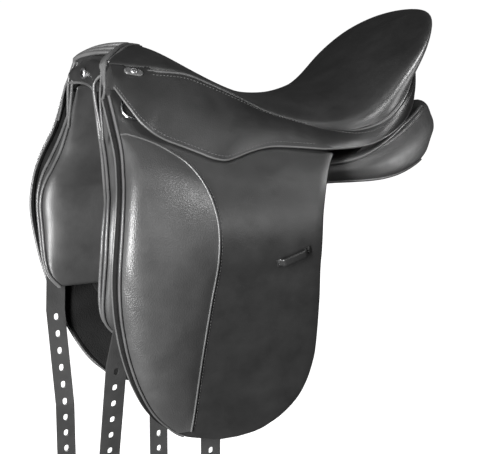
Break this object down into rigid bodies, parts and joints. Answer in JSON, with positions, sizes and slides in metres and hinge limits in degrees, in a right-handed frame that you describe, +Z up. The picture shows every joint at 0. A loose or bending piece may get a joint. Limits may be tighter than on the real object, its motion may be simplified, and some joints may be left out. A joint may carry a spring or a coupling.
{
  "type": "dressage saddle",
  "caption": "Dressage saddle with a deep padded seat, padded knee pads, lifting skirts and flaps on a sprung tree, panels, long girth billets and metal fittings.",
  "frame": {"origin": "middle of the gullet at the height where the panels bear on the back at mid saddle", "axes": "-X to the horse's head, -Y to the rider's left, +Z up"},
  "size_m": [0.4935, 0.392, 0.654],
  "materials": {
    "smooth_leather": "satin black, smooth",
    "grain_leather": "satin black, pebbled",
    "lining_leather": "matt black",
    "billet_leather": "matt black",
    "bright_steel": "polished",
    "plate_steel": "plain",
    "tree_wood": "laminated, sealed",
    "webbing": "woven",
    "foam": "soft foam"
  },
  "bodies": {
    "saddle": {"tree_head": "tree_wood", "tree_rail_left": "tree_wood", "tree_rail_right": "tree_wood", "tree_cantle": "tree_wood", "gullet_plate": "plate_steel", "tree_rivets": "plate_steel", "seat_webbing": "webbing", "seat_foam": "foam", "seat_cover": "smooth_leather", "seat_welt": "smooth_leather", "pommel_facing": "smooth_leather", "skirt_head_left": "smooth_leather", "skirt_head_right": "smooth_leather", "flap_head_left": "smooth_leather", "flap_head_right": "smooth_leather", "sweat_flap_left": "lining_leather", "sweat_flap_right": "lining_leather", "panel_left": "smooth_leather", "panel_right": "smooth_leather", "panel_flap_left": "smooth_leather", "panel_flap_right": "smooth_leather", "panel_front_bridge": "smooth_leather", "panel_rear_bridge": "smooth_leather", "stirrup_bar_left": "bright_steel", "stirrup_bar_right": "bright_steel", "catch_pin_left": "bright_steel", "catch_pin_right": "bright_steel", "girth_web_left": "webbing", "girth_web_right": "webbing", "billet_rivets_left": "plate_steel", "billet_rivets_right": "plate_steel", "head_stud": "bright_steel", "button_patch_left": "smooth_leather", "button_patch_right": "smooth_leather", "skirt_button_left": "bright_steel", "skirt_button_right": "bright_steel"},
    "flap_left": {"flap_left": "smooth_leather", "flap_lining_left": "lining_leather", "knee_pad_left": "grain_leather", "keeper_left": "smooth_leather", "dee_chape_left": "smooth_leather", "dee_rivet_left": "bright_steel"},
    "skirt_left": {"skirt_left": "smooth_leather"},
    "dee_ring_left": {"dee_ring_left": "bright_steel"},
    "front_billet_left": {"front_billet_left": "billet_leather"},
    "rear_billet_left": {"rear_billet_left": "billet_leather"},
    "bar_catch_left": {"bar_catch_left": "bright_steel"},
    "flap_right": {"flap_right": "smooth_leather", "flap_lining_right": "lining_leather", "knee_pad_right": "grain_leather", "keeper_right": "smooth_leather", "dee_chape_right": "smooth_leather", "dee_rivet_right": "bright_steel"},
    "skirt_right": {"skirt_right": "smooth_leather"},
    "dee_ring_right": {"dee_ring_right": "bright_steel"},
    "front_billet_right": {"front_billet_right": "billet_leather"},
    "rear_billet_right": {"rear_billet_right": "billet_leather"},
    "bar_catch_right": {"bar_catch_right": "bright_steel"}
  },
  "joints": [
    {"name": "flap_lift_left", "type": "hinge", "parent": "saddle", "child": "flap_left", "pos_m": [-0.19, -0.08042, 0.14275], "axis": [-0.9182, 0.2546, 0.3034], "range_deg": [0, 60]},
    {"name": "skirt_lift_left", "type": "hinge", "parent": "flap_left", "child": "skirt_left", "pos_m": [-0.19, -0.08042, 0.14275], "axis": [-0.9182, 0.2546, 0.3034], "range_deg": [0, 75]},
    {"name": "dee_swing_left", "type": "hinge", "parent": "flap_left", "child": "dee_ring_left", "pos_m": [-0.17275, -0.09827, 0.11106], "axis": [-0.3693, 0.5974, 0.7119], "range_deg": [0, 15]},
    {"name": "front_billet_swing_left", "type": "hinge", "parent": "saddle", "child": "front_billet_left", "pos_m": [-0.174, -0.10285, 0.06889], "axis": [0, 0.766, -0.6428], "range_deg": [-6, 6]},
    {"name": "rear_billet_swing_left", "type": "hinge", "parent": "saddle", "child": "rear_billet_left", "pos_m": [-0.075, -0.10285, 0.06889], "axis": [0, 0.766, -0.6428], "range_deg": [-6, 6]},
    {"name": "catch_lift_left", "type": "hinge", "parent": "saddle", "child": "bar_catch_left", "pos_m": [-0.0875, -0.09864, 0.10191], "axis": [0, -0.766, 0.6428], "range_deg": [0, 70]},
    {"name": "flap_lift_right", "type": "hinge", "parent": "saddle", "child": "flap_right", "pos_m": [-0.19, 0.08042, 0.14275], "axis": [0.9182, 0.2546, -0.3034], "range_deg": [0, 60]},
    {"name": "skirt_lift_right", "type": "hinge", "parent": "flap_right", "child": "skirt_right", "pos_m": [-0.19, 0.08042, 0.14275], "axis": [0.9182, 0.2546, -0.3034], "range_deg": [0, 75]},
    {"name": "dee_swing_right", "type": "hinge", "parent": "flap_right", "child": "dee_ring_right", "pos_m": [-0.17275, 0.09827, 0.11106], "axis": [0.3693, 0.5974, -0.7119], "range_deg": [0, 15]},
    {"name": "front_billet_swing_right", "type": "hinge", "parent": "saddle", "child": "front_billet_right", "pos_m": [-0.174, 0.10285, 0.06889], "axis": [0, 0.766, 0.6428], "range_deg": [-6, 6]},
    {"name": "rear_billet_swing_right", "type": "hinge", "parent": "saddle", "child": "rear_billet_right", "pos_m": [-0.075, 0.10285, 0.06889], "axis": [0, 0.766, 0.6428], "range_deg": [-6, 6]},
    {"name": "catch_lift_right", "type": "hinge", "parent": "saddle", "child": "bar_catch_right", "pos_m": [-0.0875, 0.09864, 0.10191], "axis": [0, -0.766, -0.6428], "range_deg": [0, 70]}
  ]
}
